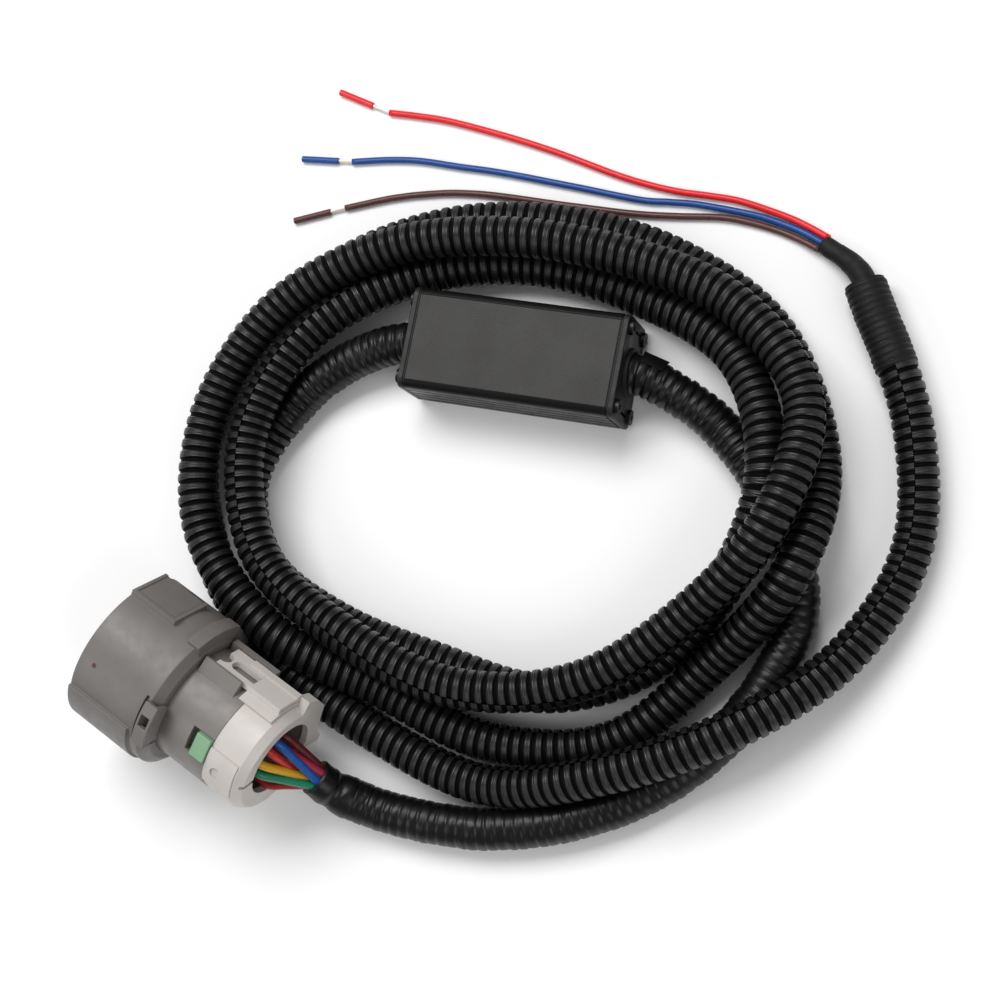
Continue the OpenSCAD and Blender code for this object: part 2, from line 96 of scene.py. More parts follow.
# Where the short loom's tube ends, in the same way
RIGHT_LOOM_END = 13
RED_ROUTE = [
    (99.35, 59.25, 3.4), (91, 63, 2), (82, 66, LEAD_Z), (66, 69.5, LEAD_Z), (54, 70.3, LEAD_Z),
    (43, 70.6, LEAD_Z), (32, 71.8, LEAD_Z), (20, 74, LEAD_Z), (8, 77, LEAD_Z),
    (-4, 80, LEAD_Z), (-16, 82.6, LEAD_Z), (-29, 85, LEAD_Z), (-49, 88, LEAD_Z),
    (-62, 88.8, LEAD_Z), (-74, 89, LEAD_Z),
]
BLUE_ROUTE = [
    (98, 57, 3.4), (90, 60.6, 2), (81, 63.2, LEAD_Z), (70, 65.2, LEAD_Z), (51, 66.6, LEAD_Z),
    (40, 66.4, LEAD_Z), (29, 66, LEAD_Z), (6, 68, LEAD_Z), (-6, 69, LEAD_Z), (-18, 70, LEAD_Z),
    (-30, 70.7, LEAD_Z), (-42, 71, LEAD_Z), (-58, 71.6, LEAD_Z), (-71, 70.6, LEAD_Z),
    (-85, 68.4, LEAD_Z),
]
BROWN_ROUTE = [
    (96.65, 54.75, 3.4), (89, 57.9, 2), (80, 60.5, LEAD_Z), (69, 62.3, LEAD_Z),
    (59, 62.8, LEAD_Z), (45, 61.6, LEAD_Z), (33, 60.8, LEAD_Z), (22, 60.6, LEAD_Z),
    (10, 60.8, LEAD_Z), (-2, 61, LEAD_Z), (-24, 61.6, LEAD_Z), (-36, 61.3, LEAD_Z),
    (-48, 60, LEAD_Z), (-65, 56.4, LEAD_Z), (-84, 50.2, LEAD_Z),
]

LOOM_D = 14.5 * MM
LEAD_D = 2.5 * MM
RIB_PITCH = 4.1 * MM
# How far the long loom reaches past its last laid point
LOOM_TIP = 6.5 * MM


class Route:
    """A smooth line through a route's points, with a side and an up direction all along it."""

    def __init__(self, points, lowest=0.0, steps=30, leaves_along_x=0):
        knots = np.array(points, float) * MM
        before = 2 * knots[0] - knots[1]
        if leaves_along_x:
            before = knots[1] - np.array([leaves_along_x * 0.03, 0, 0])
        ends = [before], [2 * knots[-1] - knots[-2]]
        p = np.concatenate([ends[0], knots, ends[1]])
        t = np.arange(steps)[:, None] / steps
        pieces = []
        for a, b, c, d in zip(p, p[1:], p[2:], p[3:]):
            bend = (2 * a - 5 * b + 4 * c - d) * t**2 + (3 * b - a - 3 * c + d) * t**3
            pieces.append(0.5 * (2 * b + (c - a) * t + bend))
        line = np.concatenate(pieces + [knots[-1:]])
        line[:, 2] = np.maximum(line[:, 2], lowest)
        self.line = line
        self.s = np.concatenate([[0], np.cumsum(np.linalg.norm(np.diff(line, axis=0), axis=1))])
        self.length = float(self.s[-1])
        self.knot_s = self.s[::steps]
        self.find_directions()

    def find_directions(self):
        """The heading, the upward direction square to it, and the side, all along the line."""
        heading = np.gradient(self.line, axis=0)
        heading /= np.linalg.norm(heading, axis=1)[:, None]
        up = np.array([0.0, 0.0, 1.0]) - heading[:, 2:] * heading
        up /= np.linalg.norm(up, axis=1)[:, None]
        self.heading = heading
        self.up = up
        self.side = np.cross(heading, up)

    def at(self, s, values):
        """Values given along the line, read off at the lengths s."""
        flat = np.ravel(s)
        read = np.stack([np.interp(flat, self.s, values[:, k]) for k in range(3)], 1)
        return read.reshape(np.shape(s) + (3,))

    def point(self, s):
        return self.at(s, self.line)


left_route = Route(LEFT_ROUTE, lowest=LOOM_D / 2, leaves_along_x=-1)
right_route = Route(RIGHT_ROUTE, lowest=LOOM_D / 2, leaves_along_x=1)
red_route = Route(RED_ROUTE, lowest=LEAD_D / 2)
blue_route = Route(BLUE_ROUTE, lowest=LEAD_D / 2)
brown_route = Route(BROWN_ROUTE, lowest=LEAD_D / 2)

# ---------------------------------------------------------------- mesh helpers


def new_object(name, verts, faces, material, smooth_angle=None):
    mesh = bpy.data.meshes.new(name)
    mesh.from_pydata([tuple(v) for v in verts], [], faces)
    mesh.update()
    mesh.polygons.foreach_set("use_smooth", [True] * len(mesh.polygons))
    if smooth_angle:
        mesh.set_sharp_from_angle(angle=math.radians(smooth_angle))
    obj = bpy.data.objects.new(name, mesh)
    bpy.context.scene.collection.objects.link(obj)
    mesh.materials.append(material)
    return obj


def add_attribute(obj, name, values):
    attribute = obj.data.attributes.new(name, "FLOAT", "POINT")
    attribute.data.foreach_set("value", np.ravel(values).astype(np.float32))


def grid_faces(rings, count, closed, start=0):
    """Quads between rings of points; a closed ring's last point joins its first."""
    steps = count if closed else count - 1
    i, j = np.meshgrid(np.arange(rings - 1), np.arange(steps), indexing="ij")
    a = start + i * count + j
    b = start + i * count + (j + 1) % count
    return np.stack([a, b, b + count, a + count], -1).reshape(-1, 4).tolist()


def tube_points(route, s, radius, angle):
    """Points round a route: s, radius and angle are arrays of one shape. Angle 0 is up."""
    side = route.at(s, route.side)
    up = route.at(s, route.up)
    side /= np.linalg.norm(side, axis=-1, keepdims=True)
    up /= np.linalg.norm(up, axis=-1, keepdims=True)
    out = np.cos(angle)[..., None] * up + np.sin(angle)[..., None] * side
    return route.point(s) + np.asarray(radius)[..., None] * out


def wave_noise(seed, s, angle, scale, turns=3):
    """Smooth random relief on a tube, about -1 to 1, from a few waves along and round it."""
    rng = np.random.default_rng(seed)
    total = np.zeros(np.broadcast(s, angle).shape)
    for _ in range(9):
        k = rng.uniform(0.4, 1.6) * 2 * math.pi / scale
        n = rng.integers(-turns, turns + 1)
        total += np.sin(k * s + n * angle + rng.uniform(0, 2 * math.pi))
    return total / 4.5


# ---------------------------------------------------------------- materials


class Shader:
    """A node material built in code, with a few short words for its usual nodes."""

    def __init__(self, name, color, roughness, metallic=0.0, specular=0.5, coat=0.0,
                 coat_roughness=0.2, subsurface=0.0):
        self.material = bpy.data.materials.new(name)
        self.material.use_nodes = True
        self.tree = self.material.node_tree
        self.shader = self.tree.nodes["Principled BSDF"]
        self.set("Base Color", (*color, 1))
        self.set("Roughness", roughness)
        self.set("Metallic", metallic)
        self.set("Specular IOR Level", specular)
        self.set("Coat Weight", coat)
        self.set("Coat Roughness", coat_roughness)
        self.set("Subsurface Weight", subsurface)
        self.color = color
        self.place = self.node("ShaderNodeTexCoord").outputs["Object"]
        self.bump_normal = None

    def set(self, socket, value):
        self.shader.inputs[socket].default_value = value

    def node(self, kind, **settings):
        node = self.tree.nodes.new(kind)
        for key, value in settings.items():
            setattr(node, key, value)
        return node

    def link(self, a, b):
        self.tree.links.new(a, b)

    def noise(self, scale, detail=4, stretch=(1, 1, 1)):
        """Noise whose grains are about 1 / scale metres across."""
        mapping = self.node("ShaderNodeMapping")
        mapping.inputs["Scale"].default_value = stretch
        self.link(self.place, mapping.inputs["Vector"])
        noise = self.node("ShaderNodeTexNoise")
        noise.inputs["Scale"].default_value = scale
        noise.inputs["Detail"].default_value = detail
        self.link(mapping.outputs["Vector"], noise.inputs["Vector"])
        return noise.outputs["Fac"]

    def attribute(self, name):
        return self.node("ShaderNodeAttribute", attribute_name=name).outputs["Fac"]

    def math(self, operation, a, b=None):
        node = self.node("ShaderNodeMath", operation=operation)
        for socket, value in zip(node.inputs, (a, b)):
            if value is None:
                continue
            if isinstance(value, (int, float)):
                socket.default_value = value
            else:
                self.link(value, socket)
        return node.outputs[0]

    def ramp(self, value, low, high, out_low=0.0, out_high=1.0):
        node = self.node("ShaderNodeMapRange")
        self.link(value, node.inputs["Value"])
        node.inputs["From Min"].default_value = low
        node.inputs["From Max"].default_value = high
        node.inputs["To Min"].default_value = out_low
        node.inputs["To Max"].default_value = out_high
        return node.outputs["Result"]

    def vary_color(self, value, other):
        """Mixes another colour in where value is high."""
        mix = self.node("ShaderNodeMix", data_type="RGBA")
        self.link(value, mix.inputs["Factor"])
        source = self.shader.inputs["Base Color"].links
        if source:
            self.link(source[0].from_socket, mix.inputs[6])
        else:
            mix.inputs[6].default_value = (*self.color, 1)
        mix.inputs[7].default_value = (*other, 1)
        self.link(mix.outputs[2], self.shader.inputs["Base Color"])

    def vary_roughness(self, value, low, high):
        self.link(self.ramp(value, 0.3, 0.7, low, high), self.shader.inputs["Roughness"])

    def bump(self, height, distance, strength=1.0):
        node = self.node("ShaderNodeBump")
        node.inputs["Strength"].default_value = strength
        node.inputs["Distance"].default_value = distance
        self.link(height, node.inputs["Height"])
        if self.bump_normal:
            self.link(self.bump_normal, node.inputs["Normal"])
        self.bump_normal = node.outputs["Normal"]
        self.link(self.bump_normal, self.shader.inputs["Normal"])


MOULD_LINES = 5


def loom_plastic():
    """Black polyethylene: satin ribs, each with a few fine mould lines round it; painted shade
    darkens their walls.
    """
    m = Shader("loom_plastic", (0.0065, 0.0065, 0.007), 0.32, specular=0.42)
    rib = m.math("ADD", m.attribute("rib"), 0.32)
    lines = m.math("COSINE", m.math("MULTIPLY", rib, 2 * math.pi * MOULD_LINES))
    m.bump(lines, 0.00006)
    m.bump(m.noise(1200), 0.00003)
    depth = m.attribute("depth")
    # Painted shade: the colour darkens toward near black the deeper a point lies down a rib's wall
    m.vary_color(m.ramp(depth, 0.25, 0.8, 0.0, 0.9), (0.002, 0.002, 0.002))
    m.vary_roughness(m.noise(180), 0.3, 0.44)
    m.vary_color(m.ramp(m.noise(90), 0.45, 0.75, 0.0, 0.5), (0.013, 0.013, 0.013))
    return m.material


def groove_shade_plastic():
    """The same plastic down in the grooves, dull, its colour painted near black as shade."""
    # Painted shade: a near-black, barely reflecting copy of the loom plastic for the groove faces and
    # the core
    m = Shader("groove_shade_plastic", (0.0012, 0.0012, 0.0012), 0.7, specular=0.06)
    m.bump(m.noise(1200), 0.00003)
    m.vary_roughness(m.noise(180), 0.64, 0.8)
    m.vary_color(m.ramp(m.noise(90), 0.45, 0.75, 0.0, 0.5), (0.002, 0.002, 0.002))
    return m.material


def tape_vinyl():
    """Black PVC tape: softly glossy, with a fine grain and a few dusty patches."""
    m = Shader("tape_vinyl", (0.003, 0.003, 0.0032), 0.34, specular=0.28)
    m.bump(m.noise(300, 4), 0.0001)
    m.bump(m.noise(1800, 3), 0.00002)
    m.vary_roughness(m.noise(260), 0.28, 0.4)
    m.vary_color(m.ramp(m.noise(150), 0.5, 0.8, 0.0, 0.6), (0.008, 0.008, 0.0085))
    return m.material


def worn_tape():
    """The same tape stretched tight and rubbed dull."""
    m = Shader("worn_tape", (0.0055, 0.0055, 0.0055), 0.6, specular=0.24)
    m.bump(m.noise(700, 4), 0.00012)
    m.vary_roughness(m.noise(260), 0.5, 0.66)
    m.vary_color(m.ramp(m.noise(220), 0.5, 0.8, 0.0, 0.7), (0.012, 0.012, 0.0125))
    return m.material


def anodised():
    """Black anodised extrusion: faint lengthwise die lines under a fine satin."""
    m = Shader("anodised", (0.0045, 0.0045, 0.0047), 0.36, metallic=0.0, specular=0.16)
    m.bump(m.noise(60, 5, (0.4, 60, 60)), 0.00003)
    m.bump(m.noise(4200, 2), 0.00001)
    m.vary_roughness(m.noise(300), 0.3, 0.42)
    m.vary_color(m.ramp(m.noise(70), 0.4, 0.8, 0.0, 0.4), (0.008, 0.008, 0.0083))
    return m.material


def label_film():
    """Unprinted matt film with a fine even grain."""
    m = Shader("label_film", (0.0295, 0.0287, 0.0272), 0.55, specular=0.28)
    grain = m.noise(1500, 2)
    m.bump(grain, 0.00003)
    m.vary_color(m.ramp(grain, 0.35, 0.7, 0.0, 0.6), (0.045, 0.0438, 0.0415))
    m.vary_roughness(m.noise(60), 0.5, 0.62)
    return m.material


def moulded(name, color, roughness=0.45, grain=0.00002, other=None, specular=0.45):
    """Moulded plastic with a fine spark-eroded texture and slight mottling."""
    m = Shader(name, color, roughness, specular=specular)
    m.bump(m.noise(2600, 3), grain)
    m.bump(m.noise(45, 2), grain * 4)
    shade = other or tuple(c * 0.82 for c in color)
    m.vary_color(m.ramp(m.noise(110), 0.42, 0.75, 0.0, 0.55), shade)
    m.vary_roughness(m.noise(240), roughness - 0.07, roughness + 0.08)
    return m.material


def insulation(name, color, roughness=0.3):
    """Extruded PVC insulation: smooth, with faint lengthwise streaks and scuffs."""
    m = Shader(name, color, roughness, specular=0.36)
    m.bump(m.noise(900, 3), 0.00003)
    m.vary_color(m.ramp(m.noise(120), 0.5, 0.85, 0.0, 0.5), tuple(c * 0.7 for c in color))
    m.vary_roughness(m.noise(400), roughness - 0.08, roughness + 0.1)
    return m.material


def bare_metal(name, color, roughness=0.3):
    m = Shader(name, color, roughness, metallic=1.0)
    m.bump(m.noise(1500, 4), 0.00002)
    m.vary_color(m.ramp(m.noise(200), 0.45, 0.8), tuple(c * 0.75 for c in color))
    m.vary_roughness(m.noise(500), roughness - 0.08, roughness + 0.12)
    return m.material


def rubber(name, color):
    m = Shader(name, color, 0.62, specular=0.35)
    m.bump(m.noise(1400, 4), 0.00004)
    m.vary_color(m.ramp(m.noise(160), 0.4, 0.8, 0.0, 0.5), tuple(c * 1.4 for c in color))
    return m.material


loom_material = loom_plastic()
groove_shade_material = groove_shade_plastic()
tape_material = tape_vinyl()
worn_tape_material = worn_tape()
anodised_material = anodised()
label_material = label_film()
rubber_material = rubber("black_rubber", (0.012, 0.012, 0.012))
seal_material = rubber("seal_silicone", (0.5, 0.16, 0.05))
pad_material = rubber("pad_silicone", (0.4, 0.42, 0.45))
screw_material = bare_metal("screw_steel", (0.035, 0.035, 0.037), 0.42)
plate_material = moulded("plate_paint", (0.012, 0.012, 0.0125), 0.48, 0.00001, specular=0.3)
strand_material = bare_metal("tinned_strands", (0.72, 0.68, 0.63), 0.42)
terminal_material = bare_metal("terminal_brass", (0.78, 0.66, 0.4), 0.25)
shroud_material = moulded("shroud_nylon", (0.15, 0.139, 0.131))
housing_material = moulded("housing_nylon", (0.178, 0.165, 0.156), 0.42)
collar_material = moulded("collar_nylon", (0.54, 0.508, 0.478), 0.42, other=(0.5, 0.465, 0.425))
lock_material = moulded("lock_nylon", (0.2, 0.37, 0.215), 0.4)
block_material = moulded("block_nylon", (0.05, 0.05, 0.05), 0.45)
board_material = moulded("board_mask", (0.015, 0.12, 0.05), 0.3)
epoxy_material = moulded("epoxy", (0.02, 0.02, 0.02), 0.5)
can_material = moulded("can_sleeve", (0.03, 0.03, 0.12), 0.3)
header_material = moulded("header_nylon", (0.7, 0.68, 0.62), 0.45)
tail_material = insulation("wire_red", (0.5, 0.025, 0.02))

# ---------------------------------------------------------------- looms

# One rib along its pitch: place as a share of the pitch, and radius in millimetres
RIB_PROFILE = [(0.02, 6.4), (0.3, 6.4), (0.35, 6.97), (0.43, 7.18), (0.66, 7.25),
               (0.89, 7.18), (0.97, 6.97)]
RIB_TOP = 7.25 * MM
GROOVE = 6.4 * MM
SHEET_SIDES = 24
# Half the open slit, in radians
SLIT_LIP = 0.02
# The dark tube inside, which the slit shows: painted shade, in the grooves' near-black material
CORE_R = 6.1 * MM
CORE_STEP = 6 * MM
CORE_SIDES = 10


def ribbed_sheet(route, start, end, slit_keys, skew=0.42):
    """The slit tube: its ribs climb by part of a pitch on the way round, so they miss at the slit."""
    count = int((end - start) / RIB_PITCH)
    share = np.array([p[0] for p in RIB_PROFILE])
    radius = np.array([p[1] for p in RIB_PROFILE]) * MM
    s = (start + RIB_PITCH * (np.arange(count)[:, None] + share)).ravel()
    r = np.tile(radius, count)
    turn = np.linspace(0, 1, SHEET_SIDES + 1)
    slit = np.interp(s, route.knot_s[[k[0] for k in slit_keys]],
                     np.radians([k[1] for k in slit_keys]))
    S = s[:, None] + skew * RIB_PITCH * (turn[None, :] - 0.5)
    S = np.clip(S, start, end)
    A = slit[:, None] + SLIT_LIP + (2 * math.pi - 2 * SLIT_LIP) * turn[None, :]
    verts = tube_points(route, S, np.broadcast_to(r[:, None], S.shape), A)
    rib = np.broadcast_to((s / RIB_PITCH)[:, None], S.shape)
    depth = np.broadcast_to(((RIB_TOP - r) / (RIB_TOP - GROOVE))[:, None], S.shape)
    faces = grid_faces(len(s), SHEET_SIDES + 1, closed=False)
    return verts.reshape(-1, 3), faces, rib.ravel(), depth.ravel()


def plain_tube(route, s, radius, sides, start_index):
    """A closed tube with capped ends through the lengths s."""
    A = np.broadcast_to(np.linspace(0, 2 * math.pi, sides, endpoint=False), (len(s), sides))
    S = np.broadcast_to(s[:, None], A.shape)
    R = np.broadcast_to(np.broadcast_to(radius, s.shape)[:, None], A.shape)
    verts = tube_points(route, S, R, A).reshape(-1, 3)
    faces = grid_faces(len(s), sides, True, start_index)
    last = start_index + (len(s) - 1) * sides
    faces.append([start_index + k for k in reversed(range(sides))])
    faces.append([last + k for k in range(sides)])
    return verts, faces


PATH_STEP = 4 * MM


def cord_path(route, end=None):
    """Points every few millimetres along a route, up to the end of the cord."""
    end = route.length if end is None else end
    s = np.linspace(0, end, max(16, int(end / PATH_STEP)))
    return [tuple(p) for p in route.point(s)]


def in_groove(face_count):
    """1 for each of the sheet's faces that is a groove's floor or one of its two walls; these take
    the painted-shade material.
    """
    ring = np.arange(face_count) // SHEET_SIDES % len(RIB_PROFILE)
    return np.isin(ring, (0, 1, len(RIB_PROFILE) - 1)).astype(np.int32)


def make_left_loom():
    """The long loom's slit tube over a dark core, with painted shade on the groove faces and the
    core.
    """
    end = left_route.knot_s[LEFT_LOOM_END] + LOOM_TIP
    # Where the slit lies: a place in the route, and degrees round from the top
    slit_keys = [(0, 180), (12, 150), (14, 40), (15, 10), (17, 0), (18, 15), (20, 50), (22, 75),
                 (24, 110), (28, 150), (31, 210), (33, 312), (36, 300), (46, 290), (49, 312),
                 (52, 352), (54, 360)]
    verts, faces, rib, depth = ribbed_sheet(left_route, 0.0, end, slit_keys)
    core_s = np.linspace(0.0, end - 1 * MM, int(end / CORE_STEP))
    core_verts, core_faces = plain_tube(left_route, core_s, CORE_R, CORE_SIDES, len(verts))
    loom = new_object("left_loom_tube", np.concatenate([verts, core_verts]), faces + core_faces,
                      loom_material, smooth_angle=50)
    # Painted shade: the groove faces and the whole core take the near-black groove material
    loom.data.materials.append(groove_shade_material)
    dark = np.concatenate([in_groove(len(faces)), np.ones(len(core_faces), np.int32)])
    loom.data.polygons.foreach_set("material_index", dark)
    extra = np.ones(len(core_verts))
    add_attribute(loom, "rib", np.concatenate([rib, 0 * extra]))
    add_attribute(loom, "depth", np.concatenate([depth, extra]))
    return loom


TAPE_SIDES = 40
RINGS_PER_RIB = 8
LAP_STEP = 0.16 * MM
# Shares of the pitch: where a rib's valley lies, and how wide it is
VALLEY, VALLEY_W = 0.5, 0.17
FLOOR_GAP = 0.2 * MM


def wound_tape(name, route, start, end, base, relief, seed, size=None, pitch=RIB_PITCH,
               lap=17 * MM, wrinkle=0.1, creases=0.3, flat=0.0,
               material=tape_material):
    """Tape wound over a loom: the ribs show through, each lap has a step, and it creases.

    relief and size are (places, values), the places as shares of the length; wrinkle is the
    long soft unevenness, in millimetres, and creases the short one, as a share of the relief.
    flat is how much the far end is pressed flat."""
    s = np.arange(start, end, pitch / RINGS_PER_RIB)
    sides = TAPE_SIDES
    A = np.broadcast_to(np.linspace(0, 2 * math.pi, sides, endpoint=False), (len(s), sides))
    S = np.broadcast_to(s[:, None], A.shape)
    along = (S - start) / (end - start)
    ribs = 1 - np.exp(-((S / pitch % 1 - VALLEY) / VALLEY_W) ** 2)
    turns = (S / lap + A / (2 * math.pi)) % 1.0
    R = base * (np.interp(along, *size) if size else 1.0)
    depth = np.interp(along, *relief) * MM
    R = R + depth * (ribs - 1)
    R = R + np.clip(turns / 0.9, 0, 1) * LAP_STEP
    R = R - np.abs(wave_noise(seed, S, A, 4 * MM, 5)) * creases * depth
    R = R + wave_noise(seed + 1, S, A, 12 * MM, 2) * wrinkle * MM
    verts = tube_points(route, S, R, A).reshape(-1, 3)
    middle = route.point(s).repeat(sides, axis=0)
    verts[:, 2] = middle[:, 2] + (verts[:, 2] - middle[:, 2]) * (1 - flat * along.ravel())
    verts[:, 2] = np.maximum(verts[:, 2], FLOOR_GAP)
    faces = grid_faces(len(s), sides, True)
    last = (len(s) - 1) * sides
    faces.append(list(reversed(range(sides))))
    faces.append([last + k for k in range(sides)])
    return new_object(name, verts, faces, material)


left_loom = make_left_loom()
left_tape = wound_tape("left_loom_wrap", left_route, 0.0, left_route.knot_s[2] + 12 * MM,
                       7.45 * MM, ([0, 1], [0.7, 0.65]), 3, pitch=3.5 * MM, creases=0.25)
right_end = right_route.knot_s[RIGHT_LOOM_END]
right_loom = wound_tape("right_loom_wrap", right_route, 0.0, right_end,
                        7.45 * MM, ([0, 0.25, 0.45, 1], [0.7, 0.6, 0.32, 0.28]), 5,
                        pitch=3.5 * MM, creases=0.45)
connector_tape = wound_tape("connector_end_wrap", right_route, right_end - 6 * MM,
                            right_route.length, 7.5 * MM, ([0, 0.3, 0.4, 1], [0.3, 0.2, 0, 0]), 7,
                            size=([0, 0.3, 0.5, 0.58, 0.64, 0.72, 1],
                                  [1.02, 1, 0.96, 0.87, 0.86, 0.92, 0.86]),
                            lap=14 * MM, wrinkle=0.35)
left_end = left_route.knot_s[LEFT_LOOM_END]
end_wrap = wound_tape("lead_end_wrap", left_route, left_end - 26 * MM, left_end + LOOM_TIP,
                      7.5 * MM, ([0, 1], [0.4, 0.34]), 11, pitch=2.3 * MM,
                      size=([0, 0.02, 0.96, 1], [0.96, 1, 1, 0.95]), wrinkle=0.06,
                      material=worn_tape_material)
neck_route = Route(LEFT_ROUTE[-4:], lowest=3.4 * MM)
lead_neck = wound_tape("lead_end_neck", neck_route, neck_route.knot_s[1] + 4 * MM,
                       neck_route.length, 4.2 * MM, ([0, 1], [0, 0]), 9,
                       size=([0, 0.4, 0.7, 1], [1, 0.95, 0.82, 0.76]), lap=10 * MM,
                       wrinkle=0.12, flat=0.25, material=worn_tape_material)

# ---------------------------------------------------------------- loose leads


SLUG_L = 15 * MM


def round_wire(name, route, diameter, material, sides=14, step=1.5 * MM):
    """A closed round wire all along a route."""
    s = np.linspace(0, route.length, int(route.length / step))
    radius = diameter / 2 * np.ones(len(s))
    verts, faces = plain_tube(route, s, radius, sides, 0)
    return new_object(name, verts, faces, material)


def lead_end(name, route, tint, strand_l, way):
    """The bare strands past the end of a lead, lying that way, and the slug beyond them."""
    end = route.point(route.length)
    heading = np.array([math.cos(math.radians(way)), math.sin(math.radians(way)), 0])
    strands = twisted_strands(name + "_strand_twist", end - heading * 0.5 * MM, heading,
                              strand_l + 1 * MM)
    a = end + heading * strand_l
    tip = straight_tube(name + "_slug", a, a + heading * SLUG_L, LEAD_D / 2, tint)
    return strands, tip


def across(direction):
    """Two directions square to a direction and to each other."""
    d = np.asarray(direction, float)
    side = np.cross(d, [0, 0, 1.0])
    side /= np.linalg.norm(side)
    return side, np.cross(side, d)


def straight_tube(name, a, b, radius, material, sides=20, chamfer=0.15 * MM):
    """A round bar with softened ends."""
    heading = (b - a) / np.linalg.norm(b - a)
    side, up = across(heading)
    length = np.linalg.norm(b - a)
    stations = [(0, radius - chamfer), (chamfer, radius), (length - chamfer, radius),
                (length, radius - chamfer)]
    angle = np.linspace(0, 2 * math.pi, sides, endpoint=False)
    verts = [a + heading * x + r * (math.cos(t) * side + math.sin(t) * up)
             for x, r in stations for t in angle]
    faces = grid_faces(len(stations), sides, True)
    faces.append(list(reversed(range(sides))))
    faces.append([(len(stations) - 1) * sides + k for k in range(sides)])
    return new_object(name, verts, faces, material, smooth_angle=40)


def twisted_strands(name, start, heading, length, count=9, strand_r=0.2 * MM, lay=14 * MM):
    """Fine round strands twisted together, one of them in the middle."""
    side, up = across(heading)
    sides, rings = 8, 24
    verts, faces = [], []
    for k in range(count):
        ring_r = 0 if k == 0 else 0.4 * MM
        for i in range(rings):
            x = length * i / (rings - 1)
            t = 2 * math.pi * (k / (count - 1) + x / lay)
            centre = start + heading * x + ring_r * (math.cos(t) * side + math.sin(t) * up)
            for j in range(sides):
                w = 2 * math.pi * j / sides
                verts.append(centre + strand_r * (math.cos(w) * side + math.sin(w) * up))
        faces += grid_faces(rings, sides, True, k * rings * sides)
        first = k * rings * sides
        last = first + (rings - 1) * sides
        faces.append([first + j for j in reversed(range(sides))])
        faces.append([last + j for j in range(sides)])
    return new_object(name, verts, faces, strand_material)


# Each lead's route and colour, the length of its bare strands, and the way they lie in degrees
LEAD_RUNS = {
    "red_lead": (red_route, (0.7, 0.014, 0.02), 7.5 * MM, 164.4),
    "blue_lead": (blue_route, (0.012, 0.062, 0.26), 5.6 * MM, 183),
    "brown_lead": (brown_route, (0.09, 0.033, 0.031), 6 * MM, 200.5),
}
leads = {}
for name, (route, color, strand_l, way) in LEAD_RUNS.items():
    tint = insulation(name + "_insulation", color)
    cord = round_wire(name + "_wire", route, LEAD_D, tint)
    leads[name] = (route, cord, *lead_end(name, route, tint, strand_l, way))

# ---------------------------------------------------------------- CAD nodes that stay

NODE_MATERIALS = {
    "enclosure_sleeve": anodised_material, "left_end_plate": plate_material,
    "right_end_plate": plate_material, "top_label_panel": label_material,
    "left_end_gasket": rubber_material, "right_end_gasket": rubber_material,
    "left_grommet": rubber_material, "right_grommet": rubber_material,
    "left_plate_screws": screw_material, "right_plate_screws": screw_material,
    "circuit_board": board_material, "power_transistors": epoxy_material,
    "thermal_pad": pad_material, "filter_capacitors": can_material,
    "control_chip": epoxy_material, "motion_sensor": epoxy_material,
    "current_shunt": terminal_material, "left_wire_header": header_material,
    "right_wire_header": header_material, "left_wire_tails": tail_material,
    "right_wire_tails": tail_material, "terminal_block": block_material,
    "blade_terminals": terminal_material, "centre_terminal": terminal_material,
    "interface_seal": seal_material, "rear_wire_seal": seal_material,
    "connector_shroud": shroud_material, "shroud_clip": shroud_material,
    "connector_housing": housing_material, "secondary_lock": lock_material,
    "lock_collar": collar_material,
}


def finish_node(name, material, edge):
    """Gives a CAD node its material, and softens its hard edges by that many millimetres."""
    obj = nodes[name]
    obj.data.materials.clear()
    obj.data.materials.append(material)
    if "custom_normal" in obj.data.attributes:
        obj.data.attributes.remove(obj.data.attributes["custom_normal"])
    join = obj.modifiers.new("joined_faces", "WELD")
    join.merge_threshold = 0.002 * MM
    soften = obj.modifiers.new("soft_edges", "BEVEL")
    soften.width = edge * MM
    soften.segments = 3
    soften.limit_method = "ANGLE"
    soften.angle_limit = math.radians(32)
    soften.harden_normals = True


# Width of the softened edges in millimetres, where it isn't 0.1
EDGES = {"enclosure_sleeve": 0.12, "left_end_plate": 0.35, "right_end_plate": 0.35,
         "connector_shroud": 0.45, "connector_housing": 0.35, "lock_collar": 0.4,
         "shroud_clip": 0.3, "secondary_lock": 0.35, "left_plate_screws": 0.12,
         "right_plate_screws": 0.12, "top_label_panel": 0.08}
for name, material in NODE_MATERIALS.items():
    finish_node(name, material, EDGES.get(name, 0.1))

# ---------------------------------------------------------------- wires of the connector

# The shroud's mouth, the way the connector points, and where its wires leave it
MOUTH = np.array([-121.3, -127, 29.3]) * MM
YAW = math.radians(-24)
AXIS = np.array([math.cos(YAW), math.sin(YAW), 0])
LEVEL = np.array([-math.sin(YAW), math.cos(YAW), 0])
UP = np.array([0, 0, 1.0])
WIRE_R = 1.6 * MM
SEAL_X = 50.8
OPENING_X = 72


def connector_point(x, r, angle):
    """A place x mm behind the mouth and r mm off the axis; 0 degrees is level, 90 is on top."""
    t = math.radians(angle)
    return MOUTH + MM * (x * AXIS + r * (math.cos(t) * LEVEL + math.sin(t) * UP))


def tape_point(depth, r, angle):
    """A place in the bundle, depth mm down into the taped end of the short loom."""
    heading = right_route.heading[-1]
    side = np.cross(heading, UP)
    side /= np.linalg.norm(side)
    top = np.cross(side, heading)
    t = math.radians(angle)
    centre = right_route.line[-1] - heading * depth * MM
    return centre + MM * r * (math.cos(t) * side + math.sin(t) * top)


